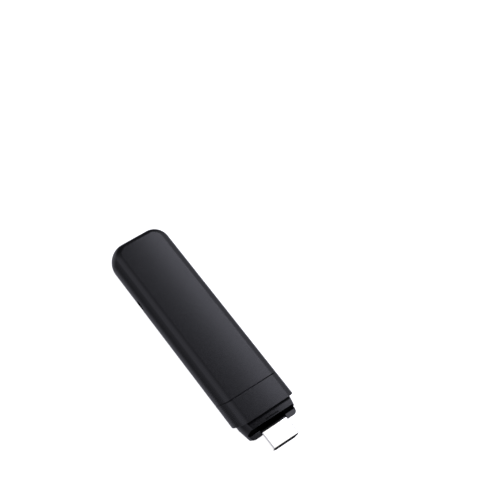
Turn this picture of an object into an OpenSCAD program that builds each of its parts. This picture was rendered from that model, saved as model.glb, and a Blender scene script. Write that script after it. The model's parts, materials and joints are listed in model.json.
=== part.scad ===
// HDMI stick computer: a slim bowed case with a leaning collar, a plug in a
// hooded neck at one end and a USB socket at the other end.
// Millimetres. X runs along the stick to the plug, Z is up, the underside is z = 0
// and the origin is under the middle of the length.

/* [Case] */
// Length from the socket end to the tip of the plug
total_len = 121.5; // [120.5:0.5:124]
// Width of the case
body_w = 31; // [30.8:0.2:32]
// Thickness of the case
body_t = 17; // [16.8:0.2:18]
// Plan radius of the two corners at the socket end
end_r = 8.6; // [7.8:0.2:9.2]
// Wall thickness of the sleeve
wall = 1.4; // [1.2:0.1:1.4]
// Radius of the bowed sides
side_r = 14; // [13.5:0.25:15]
// Radius between the bowed sides and the flat faces
edge_r = 3.5; // [3.3:0.1:3.6]

/* [Collar] */
// Distance from the collar's front edge to the tip of the plug, along the top
plug_reach = 14; // [13.8:0.1:14.6]
// Length of the collar along the top
collar_len = 12.9; // [12.5:0.1:13.5]
// Width of the seam between sleeve and collar
seam_gap = 0.3; // [0.2:0.05:0.4]
// How far the seam leans back for each millimetre of height
lean = 0.43; // [0.38:0.01:0.46]
// Length of the collar's spigot inside the sleeve
spigot_len = 5; // [4:0.25:5.5]

/* [Neck] */
// Taper of each side of the neck in degrees
neck_taper = 11.5; // [10:0.5:12.5]
// Wall thickness of the neck
neck_wall = 1.1; // [1:0.05:1.2]
// Distance from the collar's top edge to the wall behind the mouth over the plug
mouth_back = 1.1; // [1:0.1:1.4]
// Step from the collar's top down to the hood
hood_step = 2.2; // [2:0.1:2.3]
// Thickness of the hood
hood_t = 0.95; // [0.9:0.05:1.1]
// Reach of the hood's leaning front beyond the collar's end
hood_len = 4.05; // [3.9:0.05:4.2]
// Reach of the jaw's leaning front beyond the collar's end
jaw_len = 9.7; // [9.4:0.1:10]
// How far the jaw's top lies below the plug's top
jaw_drop = 0.05; // [0.05:0.05:0.3]
// Fall of the mouth's floor from the jaw's ridge to the hood's skirts
jaw_fall = 0.9; // [0.7:0.1:1.1]
// Height of the bevel in front of the jaw's ridge
jaw_bevel = 1.1; // [1:0.1:1.4]
// Length of the bevel along the stick
bevel_len = 2.1; // [1.8:0.1:2.2]
// Radius of the jaw's two front corners
jaw_corner = 2; // [1.6:0.1:2.4]
// Width of the latch groove on top of the hood
latch_w = 7; // [6:0.25:8]
// Opening of the latch groove along the stick
latch_gap = 0.6; // [0.5:0.05:0.65]
// Depth of the latch groove
latch_deep = 0.65; // [0.5:0.05:0.7]
// Thickness of the hood's strip in front of the latch groove
latch_strip = 0.5; // [0.4:0.05:0.55]

/* [Plug] */
// Width of the plug's metal shell
plug_w = 13.9; // [13.8:0.05:14]
// Height of the plug's metal shell
plug_h = 4.45; // [4.4:0.05:4.55]
// Height of the plug's middle above the underside
plug_z = 7.3; // [7.2:0.05:7.5]
// Bevel of the plug's two lower corners
plug_bevel = 1.7; // [1.5:0.1:1.8]
// Outer radius of the bends in the plug's shell
plug_corner = 0.55; // [0.45:0.05:0.7]
// Sheet thickness of the plug and socket shells
sheet = 0.3; // [0.25:0.01:0.3]

/* [Socket] */
// Inside width of the USB socket
usb_in_w = 12.5; // [12.4:0.05:12.6]
// Inside height of the USB socket
usb_in_h = 5.12; // [5.1:0.01:5.2]
// Depth of the USB socket's shell
usb_len = 13.4; // [13:0.1:13.6]
// Outer radius of the bends in the USB socket's shell
usb_corner = 0.6; // [0.5:0.05:0.7]
// How far the USB socket's mouth lies behind the end of the case
usb_set = 0.4; // [0.2:0.1:0.6]

/* [Power jack] */
// Distance of the power jack from the socket end
dc_x = 29.8; // [29.4:0.1:30]
// Height of the power jack's axis
dc_z = 6; // [5.9:0.1:6.2]
// Radius of the case's hole for the power plug
dc_hole_r = 3.1; // [3.05:0.05:3.2]
// Radius of the power jack's bore
dc_bore_r = 2.15; // [2.1:0.05:2.2]
// Radius of the power jack's centre pin
dc_pin_r = 0.675; // [0.65:0.025:0.7]

/* [Recovery button] */
// Distance of the recovery button from the socket end
btn_x = 62; // [61.5:0.1:63]
// Travel of the recovery button
btn_travel = 0.25; // [0.2:0.05:0.25]
// Radius of the pinhole in front of the recovery button
pinhole_r = 0.7; // [0.6:0.05:0.8]

/* [Board] */
// Thickness of the main board
board_t = 1; // [0.8:0.05:1]
// Gap between the main board's long edges and the sleeve's wall
board_gap = 1.1; // [1:0.05:1.3]
// Height of the processor
soc_h = 1.1; // [0.9:0.05:1.2]
// Thickness of the thermal pad on the processor
pad_t = 1; // [0.9:0.05:1.1]
// Number of fins on the heat sink
fin_count = 9; // [5:1:11]
// Thickness of one fin
fin_t = 0.9; // [0.7:0.05:1]

/* [Hidden] */
$fn = 64;

// Case section
half_w = body_w / 2;
mid_z = body_t / 2;
side_y = half_w - side_r;
edge_y = side_y + sqrt(pow(side_r - edge_r, 2) - pow(mid_z - edge_r, 2));
side_a = atan2(mid_z - edge_r, edge_y - side_y);
corner_y = half_w - end_r;
far = 60;
arc_step = 15;

// Places along the stick, from the socket end
collar_x = total_len - plug_reach;
seam_x = collar_x - collar_len;
taper_x = collar_x - 2.5;
pocket_x = seam_x + 3.5;

// Clearances between the pieces of the case
fit = 0.1;
spigot_out = wall + fit;
spigot_in = spigot_out + 1;
pocket_in = wall + 0.05;
shroud_in = pocket_in + fit;
shroud_core = shroud_in + neck_wall;
back_t = 1.2;
back_x1 = collar_x + mouth_back;
back_x0 = back_x1 - back_t;
hood_x = collar_x + hood_len;
hood_top = body_t - hood_step;
hood_low = hood_top - hood_t;
step_x = collar_x - 1;
skirt_x = leaning(hood_x, hood_low);
latch_x = hood_x - latch_strip;
jaw_top_x = collar_x + jaw_len;
jaw_z = plug_z + plug_h / 2 - jaw_drop;
bevel_z = jaw_z - jaw_bevel;
jaw_x = leaning(jaw_top_x, bevel_z);
floor_z = jaw_z - jaw_fall;
jaw_y = half_w - shroud_in - (jaw_x - jaw_corner - taper_x) * tan(neck_taper);
plug_room = 0.25;

// Snap ridges of the collar's spigot
snap_w = 8;
snap_h = 0.35;
snap_t = 0.8;
snap_back = 3;

// Main board, level with the plug
board_w = 2 * (half_w - wall - board_gap);
board_top = plug_z + board_t / 2;
board_low = plug_z - board_t / 2;
board_x0 = wall + 0.8;
board_x1 = back_x0 - 4.6;
front_w = board_w - 3;

// USB socket, which stands on the board
usb_z = board_top + 0.7;
usb_w = usb_in_w + 2 * sheet;
usb_h = usb_in_h + 2 * sheet;
usb_room = 0.2;
usb_x1 = usb_set + usb_len;
usb_foot_l = 1.4;
usb_foot_w = 1.6;
tongue_w = usb_in_w - 1.4;
tongue_in = 2;
tongue_top = usb_z + usb_in_h / 2 - 0.64;
tongue_t = 1.84;
tongue_low = tongue_top - tongue_t;
usb_contact_t = 0.25;
usb_contact_w = 1;
usb_inner_y = 1;
usb_outer_y = 3.5;
usb_contacts_y = [-usb_outer_y, -usb_inner_y, usb_inner_y, usb_outer_y];
usb_back = 1.5;

// Power jack
dc_w = 6.6;
dc_h = 6.2;
dc_ear = 1.2;
dc_ear_t = 0.9;
dc_room = 0.2;
dc_front = half_w - wall - 1.5;
dc_len = 9.2;
dc_back = 1.2;
dc_tip = 0.8;
dc_rivet = 0.6;
dc_root_r = dc_pin_r - 0.175;

// Tray under the board
tray_z = wall;
tray_t = 1;
tray_top = tray_z + tray_t;
tray_y = edge_y - 0.3;
tray_x1 = seam_x - spigot_len - lean * (body_t - wall) - 1;
rail_t = 1.2;
rail_y = tray_y - 0.2;
board_front_x = tray_x1 + 0.5;

// Screws and their bosses
screw_r = 0.8;
socket_r = 0.75;
head_r = 1.5;
head_h = 1;
lug_r = 2;
boss_r = 2;
hole_r = 1;

// Heat sink
base_z = board_top + soc_h + pad_t;
base_t = 1;
fin_top = body_t - wall - 0.3;
sink_w = board_w - 4;
sink_x0 = dc_x + dc_w / 2 + 2.4;
sink_x1 = tray_x1 - 0.3;
lug_in = lug_r + 0.5;
fin_x0 = sink_x0 + lug_in + 3;
fin_x1 = sink_x1 - lug_in - 3;

// Sizes of the pieces on the board
chip_gap = 0.6;
soc_l = 14;
ram_l = 6.5;
ram_w = 9;
ram_h = 1;
flash_l = 11.5;
flash_w = 13;
flash_h = 1;
power_l = 5;
power_h = 0.9;
boot_l = 4;
boot_w = 5;
boot_h = 1;
wifi_l = 12;
wifi_t = 0.5;
shield_h = 1.3;
antenna_l = 8;
antenna_w = 2;
antenna_h = 1.2;
crystal_l = 2.5;
crystal_w = 3.2;
crystal_h = 0.7;
coil_l = 4;
coil_h = 1.7;
cap_l = 1;
cap_w = 0.6;
cap_pitch = 2;
cap_count = 6;

// Places of the pieces on the board
soc_x = (sink_x0 + sink_x1 + ram_l + chip_gap) / 2;
ram_x = soc_x - soc_l / 2 - chip_gap - ram_l / 2;
ram_y = ram_w / 2 + 0.9;
crystal_x = soc_x + soc_l / 2 + chip_gap + crystal_l / 2;
crystal_y = soc_l / 2 - crystal_w;
cap_y = soc_l / 2 + cap_w / 2 + 0.5;
power_x = board_front_x + power_l / 2 + 2;
boot_x = power_x + power_l / 2 + boot_l / 2 + 2.5;
antenna_x = board_front_x + antenna_l / 2 + 6.5;
antenna_y = front_w / 2 - antenna_w / 2 - 1.3;
wifi_x = dc_x - 3.3;
wifi_y = board_w / 2 - wifi_l / 2 - 0.7;
coil_x = dc_x - dc_w / 2 - dc_ear - coil_l / 2 - 1.9;
coil_y = wifi_y - wifi_l / 2 - coil_l / 2 - 0.7;
coil_pitch = coil_l + 0.8;
board_screw_x = coil_x - coil_l / 2 - head_r - 0.7;
board_screw_y = edge_y - 0.9;
sink_screw_y = sink_w / 2 - lug_r - 0.2;
board_screws_at = [for (s = [-1, 1]) [board_screw_x, s * board_screw_y]];
sink_screws_at = [for (s = [-1, 1], x = [sink_x0 + lug_in, sink_x1 - lug_in]) [x, s * sink_screw_y]];
screws_at = concat(board_screws_at, sink_screws_at);
film_t = 0.15;
film_y = sink_screw_y - boss_r - 0.3;

// Plug contacts
slot_w = plug_w - 2.1;
contact_t = 0.2;
contact_w = 0.4;
contact_pitch = 1;
top_contacts = 10;
low_contacts = 9;
slot_h = board_t + 2 * contact_t;
insul_x0 = board_x1 + 0.1;
insul_x1 = total_len - 1.2;
slot_x0 = back_x1 + 2.3;
pad_len = 2.6;
shell_foot_w = 1.8;
shell_foot_l = pad_len + 0.8;

// Recovery switch
switch_w = 4.4;
switch_y0 = board_w / 2 - 2.8;
switch_y1 = board_w / 2 - 0.2;
switch_h = 1.7;
plunger_h = 0.9;
plunger_w = 1.7;
flange_w = 2.7;
play = 0.1;
btn_z = board_top + 0.8;
window_y = switch_y1 - 0.5;
flange_y1 = window_y - 0.05;
flange_t = 0.4;
flange_y0 = flange_y1 - flange_t;
cavity_y = flange_y0 - btn_travel - 0.15;
led_x = btn_x + 7;
pipe_r = 0.6;
pipe_z = board_top + pipe_r + 0.08;

// Colours
charcoal = "#3d3d42";
soft_black = "#232326";
deep_black = "#151517";
board_green = "#1f4a38";
bare_metal = "#c9cbce";
gold = "#c9a14a";

// Moves a piece from the socket end to the frame's origin
module at_origin() {
    translate([-total_len / 2, 0, 0]) children();
}

// Case section across the stick, drawn inward by inset
module section(inset) {
    translate([-edge_y, inset]) square([2 * edge_y, body_t - 2 * inset]);
    for (s = [-1, 1]) {
        intersection() {
            translate([s * side_y, mid_z]) circle(r = side_r - inset);
            polygon([
                [s * side_y, mid_z],
                [s * (side_y + far * cos(side_a)), mid_z - far * sin(side_a)],
                [s * (side_y + far * cos(side_a)), mid_z + far * sin(side_a)]
            ]);
        }
        for (z = [edge_r, body_t - edge_r]) {
            translate([s * edge_y, z]) circle(r = edge_r - inset);
        }
    }
}

// Outer half of the section, measured from a corner's axis
module half_section(inset) {
    intersection() {
        translate([-corner_y, 0]) section(inset);
        translate([0, -1]) square([end_r + 1, body_t + 2]);
    }
}

// The whole bowed stick with its round end, drawn inward by inset
module stick(inset) {
    translate([end_r, 0, 0]) rotate([90, 0, 90]) linear_extrude(total_len) section(inset);
    translate([end_r, corner_y, 0]) mirror([1, 0, 0]) rotate([90, 0, 0])
        linear_extrude(2 * corner_y) half_section(inset);
    translate([end_r, corner_y, 0]) rotate([0, 0, 90])
        rotate_extrude(angle = 90) half_section(inset);
    translate([end_r, -corner_y, 0]) rotate([0, 0, 180])
        rotate_extrude(angle = 90) half_section(inset);
}

// Straight bar of the case section along the stick
module bar(inset, x0, x1) {
    translate([x0, 0, 0]) rotate([90, 0, 90]) linear_extrude(x1 - x0) section(inset);
}

// Where a leaning plane that passes x along the top lies at height z
function leaning(x, z) = x - lean * (body_t - z);

// Side view of a shape, carried right across the stick
module across(points) {
    rotate([90, 0, 0]) linear_extrude(2 * far, center = true) polygon(points);
}

// Leaning slab between two places along the top
module slab(x0, x1) {
    across([
        [leaning(x0, -2), -2],
        [leaning(x1, -2), -2],
        [leaning(x1, body_t + 2), body_t + 2],
        [leaning(x0, body_t + 2), body_t + 2]
    ]);
}

// Box from one corner to another
module block(x0, x1, y0, y1, z0, z1) {
    translate([x0, y0, z0]) cube([x1 - x0, y1 - y0, z1 - z0]);
}

// Upright round bar
module post(x, y, r, z0, z1) {
    translate([x, y, z0]) cylinder(r = r, h = z1 - z0);
}

// One tapering side of the neck
module neck_side(s, inset) {
    translate([taper_x, s * half_w, 0]) rotate([0, 0, -s * neck_taper])
        translate([-taper_x, -s * half_w, 0])
        translate([taper_x - far, 0, 0]) rotate([90, 0, 90]) linear_extrude(2 * far) {
            section(inset);
            translate([s > 0 ? -far : 0, inset]) square([far, body_t - 2 * inset]);
        }
}

// Neck body between two places, drawn inward by inset
module neck(inset, x0, x1) {
    intersection() {
        bar(inset, x0, x1);
        neck_side(1, inset);
        neck_side(-1, inset);
    }
}

// Points of an arc round a centre, from one direction to another
function arc(centre, r, from, to) =
    [for (a = [from : arc_step : to]) centre + r * [cos(a), sin(a)]];

// Plug outline seen from its tip, drawn inward by inset
module plug_outline(inset) {
    r = plug_corner - inset;
    k = sqrt(2) - 1;
    side = plug_w / 2 - plug_corner;
    high = plug_h / 2 - plug_corner;
    knee = plug_bevel - plug_h / 2 + k * plug_corner;
    low = plug_w / 2 - plug_bevel - k * plug_corner;
    polygon(concat(
        arc([side, knee], r, -45, 0),
        arc([side, high], r, 0, 90),
        arc([-side, high], r, 90, 180),
        arc([-side, knee], r, 180, 225),
        arc([-low, -high], r, 225, 270),
        arc([low, -high], r, 270, 315)
    ));
}

// Bar with the plug's outline
module plug_bar(inset, x0, x1) {
    translate([x0, 0, plug_z]) rotate([90, 0, 90]) linear_extrude(x1 - x0) plug_outline(inset);
}

// Bar with the USB socket's outline, drawn inward by inset
module usb_bar(inset, x0, x1) {
    side = usb_w / 2 - usb_corner;
    high = usb_h / 2 - usb_corner;
    r = usb_corner - inset;
    translate([x0, 0, usb_z]) rotate([90, 0, 90]) linear_extrude(x1 - x0) polygon(concat(
        arc([side, high], r, 0, 90),
        arc([-side, high], r, 90, 180),
        arc([-side, -high], r, 180, 270),
        arc([side, -high], r, 270, 360)
    ));
}

// One-piece sleeve that holds everything behind the collar
module main_sleeve() {
    color(charcoal) at_origin() difference() {
        intersection() {
            stick(0);
            slab(-far, seam_x - seam_gap / 2);
        }
        stick(wall);
        usb_bar(-usb_room, -1, wall + 2);
        translate([dc_x, 0, dc_z]) rotate([90, 0, 0]) cylinder(r = dc_hole_r, h = body_w);
        translate([btn_x, 0, btn_z]) rotate([-90, 0, 0]) cylinder(r = pinhole_r, h = body_w);
        translate([led_x, 0, pipe_z]) rotate([-90, 0, 0]) cylinder(r = pipe_r + 0.02, h = body_w);
        snap_ridges(0.1);
    }
}

// Snap ridges on the spigot's flat faces, grown by room for their pockets
module snap_ridges(room) {
    for (top = [0, 1]) {
        z = top * (body_t - 2 * spigot_out) + spigot_out;
        x = seam_x - snap_back - lean * (body_t - z);
        block(x - snap_t / 2 - room, x + snap_t / 2 + room, -snap_w / 2 - room, snap_w / 2 + room,
            z - snap_h - room, z + snap_h + room);
    }
}

// Leaning collar with a spigot that snaps into the sleeve
module front_collar() {
    color(charcoal) at_origin() difference() {
        union() {
            intersection() {
                bar(0, seam_x - 2 * spigot_len, collar_x + 5);
                slab(seam_x + seam_gap / 2, collar_x);
            }
            intersection() {
                bar(spigot_out, seam_x - 4 * spigot_len, collar_x + 5);
                slab(seam_x - spigot_len, seam_x + seam_gap / 2 + 1);
            }
            snap_ridges(0);
        }
        intersection() {
            bar(spigot_in, seam_x - 6 * spigot_len, collar_x + 5);
            slab(seam_x - 2 * spigot_len, pocket_x + 1);
        }
        intersection() {
            bar(pocket_in, seam_x - 6 * spigot_len, collar_x + 5);
            slab(pocket_x, collar_x + 5);
        }
    }
}

// Side view of the neck: a stepped hood with upright skirts, and a bevelled jaw in front of them
module neck_profile() {
    across([
        [leaning(pocket_x, -2), -2],
        [jaw_x + bevel_len, -2],
        [jaw_x + bevel_len, bevel_z - jaw_bevel],
        [jaw_x - bevel_len, jaw_z],
        [skirt_x, floor_z],
        [skirt_x, hood_low],
        [leaning(hood_x, hood_top), hood_top],
        [leaning(step_x, hood_top), hood_top],
        [leaning(step_x, body_t), body_t],
        [leaning(pocket_x, body_t), body_t]
    ]);
}

// Leaning front of the jaw, with its round corners
module jaw_front() {
    translate([leaning(jaw_top_x, 0), 0, 0]) rotate([0, atan(lean), 0]) translate([0, 0, -far])
        linear_extrude(2 * far) polygon(concat(
            [[-2 * far, half_w], [-2 * far, -half_w], [-jaw_corner, -half_w]],
            arc([-jaw_corner, jaw_corner - jaw_y], jaw_corner, -90, 0),
            arc([-jaw_corner, jaw_y - jaw_corner], jaw_corner, 0, 90),
            [[-jaw_corner, half_w]]
        ));
}

// Room between the neck's walls and under its hood
module neck_room(x0, x1, z0) {
    intersection() {
        neck(shroud_core, x0, x1);
        block(x0, x1, -half_w, half_w, z0, hood_low);
    }
}

// Latch groove across the top of the hood
module latch_groove() {
    intersection() {
        slab(latch_x - latch_gap, latch_x);
        block(back_x1, jaw_x, -latch_w / 2, latch_w / 2, hood_top - latch_deep, body_t);
    }
}

// Neck that carries the plug, with a hood over its root
module plug_shroud() {
    color(soft_black) at_origin() difference() {
        intersection() {
            neck(shroud_in, seam_x - 10, jaw_x + 1);
            neck_profile();
            jaw_front();
        }
        neck_room(seam_x - 20, back_x0, 0);
        neck_room(back_x1, skirt_x + fit, floor_z);
        latch_groove();
        plug_bar(-plug_room, back_x0 - 1, jaw_x + 1);
    }
}

// Tray that slides into the sleeve and carries the board
module inner_tray() {
    color(soft_black) at_origin() difference() {
        union() {
            block(board_screw_x - boss_r, tray_x1, -tray_y, tray_y, tray_z, tray_top);
            for (s = [-1, 1]) {
                rail_x0 = s > 0 ? board_screw_x : dc_x + dc_w / 2 + 1.6;
                block(rail_x0, sink_x1 - lug_in, min(s * rail_y, s * (rail_y - rail_t)),
                    max(s * rail_y, s * (rail_y - rail_t)), tray_top - 0.5, board_low);
            }
            for (p = screws_at) post(p.x, p.y, boss_r, tray_top - 0.5, board_low);
        }
        for (p = screws_at) post(p.x, p.y, screw_r, tray_top + 0.4, board_low + 1);
        jack_room();
    }
}

// Room that the pieces round the power jack leave for it
module jack_room() {
    block(dc_x - dc_w / 2 - dc_room, dc_x + dc_w / 2 + dc_room,
        -body_w, dc_len - dc_front + dc_rivet + dc_room,
        dc_z - dc_h / 2 - dc_room, body_t);
}

// Thin film that keeps the board clear of the tray
module insulating_film() {
    color("#b9b28a") at_origin() difference() {
        block(board_screw_x + boss_r + 2, sink_x1 - 2 * lug_in, -film_y, film_y, tray_top, tray_top + film_t);
        jack_room();
    }
}

// Main board, notched for the socket and the power jack
module main_board() {
    color(board_green) at_origin() difference() {
        union() {
            block(board_x0, board_front_x, -board_w / 2, board_w / 2, board_low, board_top);
            block(board_front_x - 1, board_x1, -front_w / 2, front_w / 2, board_low, board_top);
        }
        block(0, usb_x1 + 2 * usb_room, -usb_w / 2 - usb_room, usb_w / 2 + usb_room, 0, body_t);
        jack_room();
        for (s = [-1, 1]) {
            difference() {
                block(0, end_r - 1, min(s * corner_y, s * body_w), max(s * corner_y, s * body_w), 0, body_t);
                post(end_r - 1, s * (corner_y - 0.4), end_r - 3, -1, body_t + 1);
            }
        }
        for (p = screws_at) post(p.x, p.y, hole_r, 0, body_t);
    }
}

// Finned plate over the processor, on four lugs
module heat_sink() {
    pitch = (sink_w - fin_t) / (fin_count - 1);
    color(bare_metal) at_origin() difference() {
        union() {
            block(sink_x0, sink_x1, -sink_w / 2, sink_w / 2, base_z, base_z + base_t);
            for (i = [0 : fin_count - 1]) {
                y = i * pitch - sink_w / 2;
                block(fin_x0, fin_x1, y, y + fin_t, base_z + base_t / 2, fin_top);
            }
            for (p = sink_screws_at) post(p.x, p.y, lug_r, board_top, base_z + base_t / 2);
        }
        for (p = sink_screws_at) post(p.x, p.y, hole_r, 0, body_t);
    }
}

// Chip of a given size standing on the board
module chip(x, y, l, w, h) {
    block(x - l / 2, x + l / 2, y - w / 2, y + w / 2, board_top, board_top + h);
}

// Processor
module soc_chip() {
    color(deep_black) at_origin() chip(soc_x, 0, soc_l, soc_l, soc_h);
}

// Soft pad between the processor and the heat sink
module soc_thermal_pad() {
    color("#8fa3b5") at_origin() translate([0, 0, soc_h]) chip(soc_x, 0, soc_l - 1, soc_l - 1, pad_t);
}

// Two memory chips beside the processor
module ram_chips() {
    color(deep_black) at_origin() for (s = [-1, 1]) chip(ram_x, s * ram_y, ram_l, ram_w, ram_h);
}

// Storage chip on the underside of the board
module flash_chip() {
    color(deep_black) at_origin() translate([0, 0, -board_t - flash_h])
        chip(soc_x, 0, flash_l, flash_w, flash_h);
}

// Power management chip
module power_chip() {
    color(deep_black) at_origin() chip(power_x, 0, power_l, power_l, power_h);
}

// Small chip that holds the start-up code
module boot_flash_chip() {
    color(deep_black) at_origin() chip(boot_x, 0, boot_l, boot_w, boot_h);
}

// Board of the wireless module
module wireless_board() {
    color(board_green) at_origin() chip(wifi_x, wifi_y, wifi_l, wifi_l, wifi_t);
}

// Metal can over the wireless module
module wireless_shield() {
    color(bare_metal) at_origin() translate([0, 0, wifi_t])
        chip(wifi_x, wifi_y, wifi_l - 1, wifi_l - 1, shield_h);
}

// Two ceramic antennas beside the plug's end of the board
module antennas() {
    color("#d8d2c2") at_origin() for (s = [-1, 1])
        chip(antenna_x, s * antenna_y, antenna_l, antenna_w, antenna_h);
}

// Two clock crystals beside the processor
module crystals() {
    color(bare_metal) at_origin() for (s = [-1, 1])
        chip(crystal_x, s * crystal_y, crystal_l, crystal_w, crystal_h);
}

// Two coils beside the power jack
module inductors() {
    color("#55585c") at_origin() for (i = [0, 1])
        chip(coil_x, coil_y - i * coil_pitch, coil_l, coil_l, coil_h);
}

// Rows of capacitors along both sides of the processor
module capacitors() {
    color("#a58a68") at_origin() for (s = [-1, 1], i = [0 : cap_count - 1]) {
        chip(soc_x + (i - (cap_count - 1) / 2) * cap_pitch, s * cap_y, cap_l, cap_w, cap_w);
    }
}

// Screw with its head's seat at z, shank down to low
module screw(x, y, z, low) {
    difference() {
        union() {
            post(x, y, head_r, z, z + head_h);
            post(x, y, screw_r - 0.03, low, z + head_h / 2);
        }
        translate([x, y, z + head_h / 2]) cylinder(r = socket_r, h = head_h, $fn = 6);
    }
}

module heat_sink_screws() {
    color(bare_metal) at_origin()
        for (p = sink_screws_at) screw(p.x, p.y, base_z + base_t, tray_top + 0.8);
}

module board_screws() {
    color(bare_metal) at_origin()
        for (p = board_screws_at) screw(p.x, p.y, board_top, tray_top + 0.8);
}

// Folded metal shell of the plug, with a flange behind the neck's wall and two feet
module hdmi_shell() {
    foot_y = plug_w / 2 - sheet;
    color(bare_metal) at_origin() {
        difference() {
            union() {
                plug_bar(0, insul_x0, total_len);
                plug_bar(-0.8, back_x0 - 1.1, back_x0 - 0.1);
            }
            plug_bar(sheet, insul_x0 - 1, total_len + 1);
        }
        for (s = [-1, 1]) {
            block(board_x1 - shell_foot_l, insul_x0 + 1, min(s * foot_y, s * (foot_y + shell_foot_w)),
                max(s * foot_y, s * (foot_y + shell_foot_w)), board_top, board_top + 0.5);
        }
    }
}

// Moulded insert of the plug, with the slot for the mating tongue
module hdmi_insulator() {
    color(deep_black) at_origin() difference() {
        plug_bar(sheet, insul_x0, insul_x1);
        block(slot_x0, total_len, -slot_w / 2, slot_w / 2, plug_z - slot_h / 2, plug_z + slot_h / 2);
        for (z = [board_top, board_low - contact_t]) {
            block(insul_x0 - 1, slot_x0 + 1, -slot_w / 2, slot_w / 2, z, z + contact_t);
        }
    }
}

// One row of plug contacts, from the board's pads to the slot
module contact_row(count, z) {
    for (i = [0 : count - 1]) {
        y = (i - (count - 1) / 2) * contact_pitch;
        block(board_x1 - pad_len, insul_x1 - 1, y - contact_w / 2, y + contact_w / 2, z, z + contact_t);
    }
}

// Nineteen contacts in two rows
module hdmi_contacts() {
    color(gold) at_origin() {
        contact_row(top_contacts, board_top);
        contact_row(low_contacts, board_low - contact_t);
    }
}

// Metal shell of the USB socket, with four feet on the board
module usb_shell() {
    color(bare_metal) at_origin() {
        difference() {
            usb_bar(0, usb_set, usb_x1);
            usb_bar(sheet, usb_set - 1, usb_x1 + 1);
        }
        for (s = [-1, 1], x = [usb_x1 - 4 * usb_foot_l, usb_x1 - 1.5 * usb_foot_l]) {
            block(x, x + usb_foot_l, min(s * usb_in_w / 2, s * (usb_w / 2 + usb_foot_w)),
                max(s * usb_in_w / 2, s * (usb_w / 2 + usb_foot_w)), board_top, board_top + 0.4);
        }
    }
}

// Moulded tongue and back of the USB socket
module usb_tongue() {
    color(deep_black) at_origin() difference() {
        union() {
            block(usb_set + tongue_in, usb_x1, -tongue_w / 2, tongue_w / 2, tongue_low, tongue_top);
            usb_bar(sheet, usb_x1 - usb_back, usb_x1);
        }
        for (y = usb_contacts_y) usb_strip(y, 0, usb_x1 + 1, tongue_low - usb_contact_t, tongue_low);
    }
}

// Strip as wide as one USB contact
module usb_strip(y, x0, x1, z0, z1) {
    block(x0, x1, y - usb_contact_w / 2, y + usb_contact_w / 2, z0, z1);
}

// Four contacts under the tongue, each with a foot on the board
module usb_contacts() {
    color(gold) at_origin() for (y = usb_contacts_y) {
        usb_strip(y, usb_set + tongue_in + 0.8, usb_x1 + 1.9, tongue_low - usb_contact_t, tongue_low);
        usb_strip(y, usb_x1 + 0.9, usb_x1 + 1.9, board_top, tongue_low);
    }
}

// Moulded body of the power jack, with two ears on the board
module dc_jack_body() {
    color(deep_black) at_origin() difference() {
        union() {
            intersection() {
                block(dc_x - dc_w / 2, dc_x + dc_w / 2, -dc_front, dc_len - dc_front,
                    dc_z - dc_h / 2, dc_z + dc_h / 2);
                bar(wall + fit, dc_x - dc_w, dc_x + dc_w);
            }
            block(dc_x - dc_w / 2 - dc_ear, dc_x + dc_w / 2 + dc_ear, 0.6 - dc_front, dc_len - dc_front - 2.2,
                board_top, board_top + dc_ear_t);
        }
        translate([dc_x, dc_len - dc_back - dc_front, dc_z]) rotate([90, 0, 0])
            cylinder(r = dc_bore_r, h = dc_len);
        translate([dc_x, dc_len + 1 - dc_front, dc_z]) rotate([90, 0, 0])
            cylinder(r = dc_root_r, h = dc_len);
    }
}

// Centre pin of the power jack, held in the jack's back wall
module dc_jack_pin() {
    color(bare_metal) at_origin() translate([dc_x, dc_len - dc_front, dc_z]) rotate([90, 0, 0]) {
        translate([0, 0, -dc_rivet]) cylinder(r = dc_root_r, h = dc_rivet + dc_back + 0.1);
        translate([0, 0, dc_back]) cylinder(r = dc_pin_r, h = dc_len - dc_back - dc_tip);
    }
}

// Spring strip along the bottom of the power jack's bore
module dc_jack_spring() {
    strip_w = 1.2;
    low = dc_z - sqrt(pow(dc_bore_r, 2) - pow(strip_w / 2, 2));
    color(bare_metal) at_origin()
        block(dc_x - strip_w / 2, dc_x + strip_w / 2, 0.8 - dc_front,
            dc_len - dc_back - dc_front, low, low + 0.2);
}

// Side-push switch behind the pinhole
module recovery_switch_body() {
    color(deep_black) at_origin() difference() {
        block(btn_x - switch_w / 2, btn_x + switch_w / 2, switch_y0, switch_y1,
            board_top, board_top + switch_h);
        block(btn_x - flange_w / 2 - play, btn_x + flange_w / 2 + play, cavity_y, window_y,
            btn_z - plunger_h / 2 - play, btn_z + plunger_h / 2 + play);
        block(btn_x - plunger_w / 2 - play, btn_x + plunger_w / 2 + play, cavity_y, switch_y1 + 1,
            btn_z - plunger_h / 2 - play, btn_z + plunger_h / 2 + play);
    }
}

// Metal cover on the switch
module recovery_switch_cover() {
    color(bare_metal) at_origin()
        block(btn_x - switch_w / 2, btn_x + switch_w / 2, switch_y0, switch_y1,
            board_top + switch_h, board_top + switch_h + 0.15);
}

// Plunger of the switch, pushed in through the pinhole
module recovery_button() {
    color("#d9d4c4") at_origin() {
        block(btn_x - flange_w / 2, btn_x + flange_w / 2, flange_y0, flange_y1,
            btn_z - plunger_h / 2, btn_z + plunger_h / 2);
        block(btn_x - plunger_w / 2, btn_x + plunger_w / 2, flange_y0, switch_y1 + 0.7,
            btn_z - plunger_h / 2, btn_z + plunger_h / 2);
    }
}

// Light beside the recovery switch
module status_led() {
    color("#f2f0dc") at_origin()
        block(led_x - 0.8, led_x + 0.8, board_w / 2 - 1.2, board_w / 2 - 0.2, board_top, board_top + 1.1);
}

// Clear rod that carries the light to the side of the case
module light_pipe() {
    color("#e6eef2") at_origin() translate([led_x, board_w / 2 - 0.1, pipe_z]) rotate([-90, 0, 0])
        cylinder(r = pipe_r, h = half_w - board_w / 2 + 0.05);
}

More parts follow.
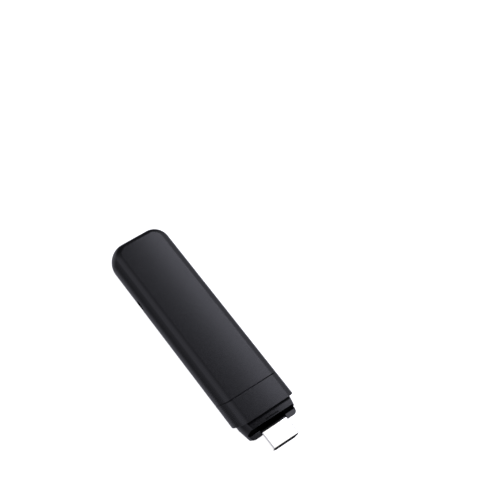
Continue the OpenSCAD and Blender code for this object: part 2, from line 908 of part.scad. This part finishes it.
main_sleeve();
front_collar();
plug_shroud();
inner_tray();
insulating_film();
main_board();
heat_sink();
soc_chip();
soc_thermal_pad();
ram_chips();
flash_chip();
power_chip();
boot_flash_chip();
wireless_board();
wireless_shield();
antennas();
crystals();
inductors();
capacitors();
heat_sink_screws();
board_screws();
hdmi_shell();
hdmi_insulator();
hdmi_contacts();
usb_shell();
usb_tongue();
usb_contacts();
dc_jack_body();
dc_jack_pin();
dc_jack_spring();
recovery_switch_body();
recovery_switch_cover();
recovery_button();
status_led();
light_pipe();
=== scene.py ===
# HDMI stick computer: finishes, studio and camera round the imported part.
# Metres, in the part's own frame: X along the stick to the plug, Z up, underside at z = 0.
import json
import math

import bpy
from mathutils import Matrix, Vector


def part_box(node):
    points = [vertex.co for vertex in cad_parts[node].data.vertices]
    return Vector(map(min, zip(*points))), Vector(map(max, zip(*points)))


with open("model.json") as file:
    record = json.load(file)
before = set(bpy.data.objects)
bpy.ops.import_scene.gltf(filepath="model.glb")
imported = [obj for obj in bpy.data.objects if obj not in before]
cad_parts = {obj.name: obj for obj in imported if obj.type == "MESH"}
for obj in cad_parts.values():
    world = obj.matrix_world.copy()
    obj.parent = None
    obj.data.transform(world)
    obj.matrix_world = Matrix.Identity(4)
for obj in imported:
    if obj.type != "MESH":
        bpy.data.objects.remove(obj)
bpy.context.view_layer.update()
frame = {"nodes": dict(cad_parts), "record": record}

NODES = frame["nodes"]
MM = 0.001
UPWARD = Vector((0.0, 0.0, 1.0))

# Camera, fitted to the photograph's outline
CAMERA_AT = Vector((0.18575, -0.18033, 0.51832))
CAMERA_TARGET = Vector((-0.02666, 0.04494, 0.0085))
CAMERA_ROLL = math.radians(11.774)
CAMERA_LENS = 89.63
CAMERA_SENSOR = 36.0
CAMERA_CLIP = (0.01, 50.0)

# Pale floor that sweeps up into a dome
FLOOR_RADIUS = 1.6
FLOOR_RINGS = 4
DOME_RADIUS = 3.2
QUARTER_RINGS = 9
ROUND_SIDES = 96
FLOOR_COLOUR = (0.8, 0.8, 0.8)
FLOOR_ROUGH = 0.9
FLOOR_GLOW = 0.90

# Soft lights: where each stands, what it faces, its size and the brightness of its face
LIGHT_COLOUR = (0.97, 0.975, 1.13)
STRIP_AT = (-0.060, 0.053, 0.117)
STRIP_TARGET = (-0.060, 0.008, 0.017)
STRIP_SIZE = (0.18, 0.02)
STRIP_LEVEL = 2.6
END_LIGHT_AT = (0.088, 0.040, 0.053)
END_LIGHT_TARGET = (0.052, 0.010, 0.009)
END_LIGHT_SIZE = (0.040, 0.040)
END_LIGHT_LEVEL = 2.2

# White cards that the plug mirrors: one above, met by the view's ray off the plug's top, and one below
CARD_COLOUR = (1.0, 1.0, 1.0)
CARD_REACH = 4 * MM
CARD_AWAY = 45 * MM
CARD_SIZE = (30 * MM, 26 * MM)
CARD_LEVEL = 1.3
LOW_CARD_SHIFT = Vector((-60, -60, -100)) * MM
LOW_CARD_SIZE = (180 * MM, 180 * MM)
LOW_CARD_LEVEL = 0.9

# Brighter and darker parts of the sky: a direction, the angles in degrees where the part ends and where it
# is full, and what it adds there
SKY_LEVEL = 0.42
SKY_PARTS = (
    ((-0.93, 0.20, 0.30), 60, 20, -0.35),
    ((-0.36, -0.82, -0.45), 30, 6, -0.33),
    ((0.00, 0.00, -1.00), 60, 20, -0.11),
    ((0.00, -1.00, 0.25), 60, 15, 0.26),
    ((0.00, 1.00, -0.30), 50, 15, 0.05),
    ((-0.36, 0.72, 0.59), 29, 5, 0.40),
    ((-0.36, -0.40, 0.85), 35, 8, 0.12),
    ((0.25, 0.33, -0.91), 35, 15, -0.25),
    ((-0.36, 0.20, 0.91), 35, 10, -0.12),
    ((-0.50, 0.52, 0.69), 28, 8, 0.15),
    ((-0.10, 0.30, 0.95), 22, 3, -0.20),
    ((-0.36, 0.13, 0.92), 15, 4, 0.13),
)

# The plug's shell is bright over this length from its tip. Behind that, its colour is painted black shade,
# which stands in for the dark recess that the shell mirrors near its root
PLUG_BRIGHT = 8.75 * MM
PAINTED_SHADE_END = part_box("hdmi_shell")[1][0] - PLUG_BRIGHT
PAINTED_SHADE_FADE = 0.05 * MM
PAINTED_ROOT_SHADE = (0.008, 0.008, 0.009)

# Pieces whose finish differs from the rest of their slot
FINISHES = {
    "soc_chip": "package", "ram_chips": "package", "flash_chip": "package", "power_chip": "package",
    # The plug's shell gets nickel with painted black shade at its root
    "boot_flash_chip": "package", "hdmi_shell": "shaded_root_plug_finish", "hdmi_insulator": "insert",
}

# Widths of the rounded edges in millimetres; the rest take the small one
SMALL_EDGE = 0.05
EDGES = {
    "main_sleeve": 0.14, "front_collar": 0.25, "plug_shroud": 0.05, "hdmi_shell": 0.07, "usb_shell": 0.07,
    "usb_tongue": 0.12, "hdmi_insulator": 0.10, "dc_jack_body": 0.12, "dc_jack_pin": 0.2,
    "recovery_button": 0.12, "light_pipe": 0.1, "heat_sink": 0.1, "main_board": 0.08, "inner_tray": 0.15,
}
EDGE_SEGMENTS = 3
EDGE_ANGLE = math.radians(32)
WELD_REACH = 0.001 * MM
NORMAL_WEIGHT = 80


class Graph:
    """Node tree of a material or a world, with short calls for its nodes and links."""

    def __init__(self, owner):
        owner.use_nodes = True
        self.tree = owner.node_tree

    def node(self, kind, inputs=None, **settings):
        """Adds a node with the given settings, and values for its inputs by name."""
        made = self.tree.nodes.new(kind)
        for key, value in settings.items():
            setattr(made, key, value)
        for key, value in (inputs or {}).items():
            made.inputs[key].default_value = value
        return made

    def link(self, source, target):
        self.tree.links.new(source, target)

    def spread(self, source, low, high, start=0.3, end=0.7):
        """Maps a pattern smoothly to the range from low to high."""
        limits = {"From Min": start, "From Max": end, "To Min": low, "To Max": high}
        made = self.node("ShaderNodeMapRange", limits, interpolation_type="SMOOTHSTEP")
        self.link(source, made.inputs["Value"])
        return made.outputs["Result"]


class Shader(Graph):
    """Principled material with short calls for the procedural patterns that feed it."""

    def __init__(self, name):
        self.material = bpy.data.materials.new(name)
        super().__init__(self.material)
        self.bsdf = self.tree.nodes["Principled BSDF"]
        self.place = self.node("ShaderNodeTexCoord").outputs["Object"]

    def set(self, **values):
        for key, value in values.items():
            self.bsdf.inputs[key.replace("_", " ")].default_value = value

    def stretched(self, scale):
        """Place on the piece with each axis scaled, for patterns that run along one of them."""
        mapping = self.node("ShaderNodeMapping", {"Scale": scale})
        self.link(self.place, mapping.inputs["Vector"])
        return mapping.outputs["Vector"]

    def noise(self, cell, detail=2.0, place=None):
        """Noise from 0 to 1 with cells of about the given size in metres."""
        made = self.node("ShaderNodeTexNoise", {"Scale": 1.0 / cell, "Detail": detail})
        self.link(place or self.place, made.inputs["Vector"])
        return made.outputs["Fac"]

    def cells(self, cell):
        """Distance to the nearest of scattered points, about a cell in metres apart."""
        made = self.node("ShaderNodeTexVoronoi", {"Scale": 1.0 / cell})
        self.link(self.place, made.inputs["Vector"])
        return made.outputs["Distance"]

    def tones(self, source, first, last, start=0.3, end=0.7):
        """Linear colours along a pattern, from the first at its start to the last at its end."""
        made = self.node("ShaderNodeValToRGB")
        for element, at, colour in zip(made.color_ramp.elements, (start, end), (first, last)):
            element.position = at
            element.color = (*colour, 1.0)
        self.link(source, made.inputs["Fac"])
        return made.outputs["Color"]

    def mixed(self, factor, first, last):
        """Blends from the first to the last, each a plain colour or a pattern of colours."""
        made = self.node("ShaderNodeMix", data_type="RGBA")
        self.link(factor, made.inputs["Factor"])
        for key, source in (("A", first), ("B", last)):
            if isinstance(source, tuple):
                made.inputs[key].default_value = (*source, 1.0)
            else:
                self.link(source, made.inputs[key])
        return made.outputs["Result"]

    def colour(self, source):
        self.link(source, self.bsdf.inputs["Base Color"])

    def roughness(self, source):
        self.link(source, self.bsdf.inputs["Roughness"])

    def bump(self, *layers):
        """Stacks bump layers, each a pattern and the height in metres that it stands."""
        normal = None
        for pattern, height in layers:
            made = self.node("ShaderNodeBump", {"Strength": 1.0, "Distance": height})
            self.link(pattern, made.inputs["Height"])
            if normal:
                self.link(normal, made.inputs["Normal"])
            normal = made.outputs["Normal"]
        self.link(normal, self.bsdf.inputs["Normal"])


def shade(colour, factor):
    return tuple(channel * factor for channel in colour)


def moulded_plastic(name, colour, rough, grain, height, gloss=0.5):
    """Moulded plastic with a fine grain, faint mottling and an uneven sheen."""
    s = Shader(name)
    s.set(Specular_IOR_Level=gloss)
    cloud = s.noise(cell=9 * MM, detail=3.0)
    speck = s.noise(cell=grain * 0.8, detail=1.0)
    s.colour(s.tones(cloud, shade(colour, 0.9), shade(colour, 1.1)))
    s.roughness(s.spread(speck, low=rough - 0.04, high=rough + 0.05))
    s.bump((s.noise(cell=grain), height), (s.noise(cell=grain * 7), height * 1.5))
    return s.material


def plated_metal(name, colour, rough, streak=(0.15, 1.0, 1.0), height=0.0015 * MM, painted_shade_to=None):
    """Plated sheet metal with drawing streaks along one axis. Behind the given point along the stick, its
    colour is painted black shade, which stands in for the dark recess that the plug's shell mirrors near its
    root.
    """
    s = Shader(name)
    s.set(Metallic=1.0)
    lines = s.noise(cell=0.35 * MM, detail=3.0, place=s.stretched(streak))
    stain = s.noise(cell=5 * MM)
    plating = s.tones(stain, shade(colour, 0.95), colour)
    if painted_shade_to is None:
        s.colour(plating)
    else:
        # Painted shade: the shell's colour turns black towards its root, where the recess mirrors only dark
        along = s.node("ShaderNodeSeparateXYZ")
        s.link(s.place, along.inputs["Vector"])
        bright = s.spread(along.outputs["X"], 0.0, 1.0, start=painted_shade_to - PAINTED_SHADE_FADE, end=painted_shade_to + PAINTED_SHADE_FADE)
        s.colour(s.mixed(bright, PAINTED_ROOT_SHADE, plating))
    s.roughness(s.spread(lines, low=rough - 0.03, high=rough + 0.06))
    s.bump((lines, height))
    return s.material


def circuit_board(name, mask, copper):
    """Solder mask over fine tracks, with bare pads here and there."""
    s = Shader(name)
    layout = {"Scale": 420.0, "Mortar Size": 0.018, "Brick Width": 1.7, "Row Height": 0.22}
    tracks = s.node("ShaderNodeTexBrick", layout)
    s.link(s.place, tracks.inputs["Vector"])
    line = tracks.outputs["Fac"]
    vias = s.spread(s.cells(cell=1.9 * MM), low=1.0, high=0.0, start=0.07, end=0.11)
    wash = s.noise(cell=7 * MM)
    plain = s.tones(wash, shade(mask, 0.85), shade(mask, 1.1))
    raised = s.mixed(line, plain, shade(mask, 1.5))
    s.colour(s.mixed(vias, raised, copper))
    s.link(vias, s.bsdf.inputs["Metallic"])
    s.roughness(s.spread(wash, low=0.32, high=0.42))
    s.bump((line, 0.02 * MM), (vias, 0.015 * MM))
    return s.material


def cast_package(name, colour, rough):
    """Chip package or ceramic body: cast resin or clay with pale filler specks."""
    s = Shader(name)
    filler = s.noise(cell=0.06 * MM, detail=1.0)
    s.colour(s.tones(filler, colour, shade(colour, 1.9), start=0.45))
    s.roughness(s.spread(s.noise(cell=2 * MM), low=rough - 0.06, high=rough + 0.06))
    s.bump((s.noise(cell=0.09 * MM), 0.004 * MM))
    return s.material


def clear_rod(name, first, last):
    """Clear moulded light guide with faint flow lines."""
    s = Shader(name)
    s.set(Transmission_Weight=1.0, IOR=1.49)
    flow = s.noise(cell=0.8 * MM, place=s.stretched((1.0, 0.3, 1.0)))
    s.colour(s.tones(flow, first, last, start=0.2, end=0.8))
    s.roughness(s.spread(flow, low=0.12, high=0.24))
    s.bump((flow, 0.004 * MM))
    return s.material


def soft_pad(name, colour):
    """Soft thermal pad with a dusty, dimpled face."""
    s = Shader(name)
    dust = s.noise(cell=0.4 * MM, detail=3.0)
    s.colour(s.tones(dust, shade(colour, 0.8), shade(colour, 1.15)))
    s.roughness(s.spread(dust, low=0.75, high=0.92))
    s.bump((s.cells(cell=0.9 * MM), 0.05 * MM), (dust, 0.02 * MM))
    return s.material


def thin_film(name, colour):
    """Insulating film with soft creases and a fine grain."""
    s = Shader(name)
    crease = s.noise(cell=6 * MM, detail=1.0)
    s.colour(s.tones(crease, shade(colour, 0.85), colour))
    s.roughness(s.spread(crease, low=0.28, high=0.45))
    s.bump((crease, 0.06 * MM), (s.noise(cell=0.3 * MM), 0.006 * MM))
    return s.material


def make_plastics():
    """Moulded plastics by slot or finish."""
    fine = {"grain": 0.10 * MM, "height": 0.004 * MM}
    return {
        "case_paint": moulded_plastic(
            "soft_charcoal", colour=(0.0050, 0.0050, 0.0054), rough=0.24,
            grain=0.16 * MM, height=0.0015 * MM),
        "neck_plastic": moulded_plastic(
            "neck_charcoal", colour=(0.0024, 0.0024, 0.0027), rough=0.20,
            grain=0.13 * MM, height=0.001 * MM, gloss=0.36),
        "black_plastic": moulded_plastic(
            "black_moulding", colour=(0.0055, 0.0055, 0.006), rough=0.40, gloss=0.3, **fine),
        "insert": moulded_plastic(
            "insert_black", colour=(0.002, 0.002, 0.002), rough=0.50, gloss=0.1, **fine),
        "light_plastic": moulded_plastic("ivory_moulding", colour=(0.62, 0.59, 0.50), rough=0.38, **fine),
        "clear_plastic": clear_rod("clear_guide", first=(0.80, 0.86, 0.88), last=(0.94, 0.96, 0.97)),
    }


def make_metals():
    """Plated and drawn metals by slot or finish."""
    nickel = {"colour": (0.83, 0.82, 0.79), "rough": 0.07, "height": 0.00005 * MM}
    return {
        "aluminium": plated_metal("drawn_aluminium", colour=(0.74, 0.75, 0.76), rough=0.34),
        "nickel": plated_metal("bright_nickel", **nickel),
        # Nickel with painted black shade over the plug's root
        "shaded_root_plug_finish": plated_metal("plug_nickel_painted_root_shade", painted_shade_to=PAINTED_SHADE_END, **nickel),
        "steel": plated_metal("zinc_steel", colour=(0.60, 0.60, 0.59), rough=0.30, streak=(1.0, 0.3, 1.0)),
        "gold": plated_metal("gold_flash", colour=(0.86, 0.62, 0.24), rough=0.20),
    }


def make_board_finishes():
    """The board and what lies on it, by slot or finish."""
    return {
        "package": cast_package("chip_resin", colour=(0.011, 0.011, 0.012), rough=0.5),
        "ceramic": cast_package("fired_ceramic", colour=(0.36, 0.28, 0.19), rough=0.42),
        "board": circuit_board("solder_mask", mask=(0.008, 0.06, 0.032), copper=(0.80, 0.58, 0.25)),
        "film": thin_film("insulating_sheet", colour=(0.42, 0.38, 0.20)),
        "thermal_pad": soft_pad("grey_blue_pad", colour=(0.27, 0.35, 0.44)),
    }


def soften(node, width):
    """Rounds the sharp edges of a node and evens its shading, on top of its own mesh."""
    weld = node.modifiers.new("weld", "WELD")
    weld.merge_threshold = WELD_REACH
    bevel = node.modifiers.new("edges", "BEVEL")
    bevel.width = width
    bevel.segments = EDGE_SEGMENTS
    bevel.limit_method = "ANGLE"
    bevel.angle_limit = EDGE_ANGLE
    bevel.use_clamp_overlap = True
    normals = node.modifiers.new("normals", "WEIGHTED_NORMAL")
    normals.weight = NORMAL_WEIGHT
    normals.keep_sharp = False


def dress_nodes():
    """Gives each node its slot's material, or its own finish, and soft edges."""
    materials = {**make_plastics(), **make_metals(), **make_board_finishes()}
    slots = {part["node"]: part["material_slot"] for part in frame["record"]["subparts"]}
    for name, node in NODES.items():
        finish = FINISHES.get(name, slots[name])
        node.data.materials.clear()
        node.data.materials.append(materials[finish])
        soften(node, EDGES.get(name, SMALL_EDGE) * MM)


def make_camera():
    """Camera at the photograph's viewing angle."""
    data = bpy.data.cameras.new("camera")
    data.lens = CAMERA_LENS
    data.sensor_width = CAMERA_SENSOR
    data.sensor_fit = "HORIZONTAL"
    data.clip_start, data.clip_end = CAMERA_CLIP
    camera = bpy.data.objects.new("camera", data)
    aim = (CAMERA_TARGET - CAMERA_AT).to_track_quat("-Z", "Y").to_matrix()
    turned = aim @ Matrix.Rotation(CAMERA_ROLL, 3, "Z")
    camera.matrix_world = Matrix.Translation(CAMERA_AT) @ turned.to_4x4()
    bpy.context.scene.collection.objects.link(camera)
    bpy.context.scene.camera = camera


def backdrop_mesh():
    """Flat round floor, a quarter-round sweep at its rim and a dome above, open at the very top."""
    rise = DOME_RADIUS - FLOOR_RADIUS
    bends = [math.radians(90 * i / QUARTER_RINGS) for i in range(1, QUARTER_RINGS + 1)]
    rings = [(FLOOR_RADIUS * i / FLOOR_RINGS, 0.0) for i in range(1, FLOOR_RINGS + 1)]
    rings += [(FLOOR_RADIUS + rise * math.sin(a), rise * (1 - math.cos(a))) for a in bends]
    rings += [(DOME_RADIUS * math.cos(a), rise + DOME_RADIUS * math.sin(a)) for a in bends[:-1]]
    points = [(0.0, 0.0, 0.0)]
    for radius, height in rings:
        for i in range(ROUND_SIDES):
            a = 2 * math.pi * i / ROUND_SIDES
            points.append((radius * math.cos(a), radius * math.sin(a), height))
    faces = [(0, 1 + i, 1 + (i + 1) % ROUND_SIDES) for i in range(ROUND_SIDES)]
    for ring in range(len(rings) - 1):
        low = 1 + ring * ROUND_SIDES
        high = low + ROUND_SIDES
        for i in range(ROUND_SIDES):
            j = (i + 1) % ROUND_SIDES
            faces.append((low + i, high + i, high + j, low + j))
    mesh = bpy.data.meshes.new("backdrop")
    mesh.from_pydata(points, [], faces)
    mesh.shade_smooth()
    return mesh


def make_backdrop():
    """Pale floor and dome that only the camera sees; it takes soft shadows and lights nothing."""
    mesh = backdrop_mesh()
    backdrop = bpy.data.objects.new("backdrop", mesh)
    bpy.context.scene.collection.objects.link(backdrop)
    s = Shader("pale_floor")
    s.set(Base_Color=(*FLOOR_COLOUR, 1.0), Roughness=FLOOR_ROUGH, Specular_IOR_Level=0.0)
    s.set(Emission_Color=(1.0, 1.0, 1.0, 1.0), Emission_Strength=FLOOR_GLOW)
    mesh.materials.append(s.material)
    backdrop.visible_glossy = False
    backdrop.visible_diffuse = False
    backdrop.visible_shadow = False


def make_world():
    """Soft sky, brighter and darker in parts, which gives the satin case its soft bands."""
    world = bpy.data.worlds.new("studio")
    sky = Graph(world)
    direction = sky.node("ShaderNodeTexCoord").outputs["Generated"]
    background = sky.tree.nodes["Background"]
    background.inputs["Color"].default_value = (*LIGHT_COLOUR, 1.0)
    level = None
    for towards, edge, full, adds in SKY_PARTS:
        facing = sky.node("ShaderNodeVectorMath", operation="DOT_PRODUCT")
        sky.link(direction, facing.inputs[0])
        facing.inputs[1].default_value = Vector(towards).normalized()
        start, end = math.cos(math.radians(edge)), math.cos(math.radians(full))
        added = sky.spread(facing.outputs["Value"], 0.0, adds, start, end)
        total = sky.node("ShaderNodeMath", operation="ADD")
        sky.link(added, total.inputs[0])
        if level is None:
            total.inputs[1].default_value = SKY_LEVEL
        else:
            sky.link(level, total.inputs[1])
        level = total.outputs["Value"]
    sky.link(level, background.inputs["Strength"])
    bpy.context.scene.world = world


def softbox(name, at, target, size, radiance, colour=LIGHT_COLOUR):
    """Soft rectangular light that faces its target; radiance is the brightness of its face."""
    data = bpy.data.lights.new(name, "AREA")
    data.shape = "RECTANGLE"
    data.size, data.size_y = size
    data.energy = radiance * math.pi * size[0] * size[1]
    data.color = colour
    light = bpy.data.objects.new(name, data)
    light.location = at
    light.rotation_euler = (Vector(target) - Vector(at)).to_track_quat("-Z", "Y").to_euler()
    light.visible_camera = False
    bpy.context.scene.collection.objects.link(light)
    return light


def plug_cards():
    """White cards above and below that light only the plug's shell."""
    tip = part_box("hdmi_shell")[1]
    top = Vector((tip[0] - CARD_REACH, 0.0, tip[2]))
    ray = (top - CAMERA_AT).normalized()
    mirrored = Vector((ray.x, ray.y, -ray.z))
    above = softbox("card_above", top + CARD_AWAY * mirrored, top, CARD_SIZE, CARD_LEVEL, CARD_COLOUR)
    under = top + LOW_CARD_SHIFT
    below = softbox("card_below", under, under + UPWARD, LOW_CARD_SIZE, LOW_CARD_LEVEL, CARD_COLOUR)
    lit = bpy.data.collections.new("lit_by_cards")
    lit.objects.link(NODES["hdmi_shell"])
    for card in (above, below):
        card.light_linking.receiver_collection = lit


def make_studio():
    """Sky, floor, soft lights and the plug's cards, with plain colours."""
    make_world()
    make_backdrop()
    softbox("top_strip", STRIP_AT, STRIP_TARGET, STRIP_SIZE, STRIP_LEVEL)
    softbox("end_light", END_LIGHT_AT, END_LIGHT_TARGET, END_LIGHT_SIZE, END_LIGHT_LEVEL)
    plug_cards()
    bpy.context.scene.view_settings.view_transform = "Standard"
    bpy.context.scene.view_settings.look = "None"


make_camera()
make_studio()
dress_nodes()

bpy.context.view_layer.update()
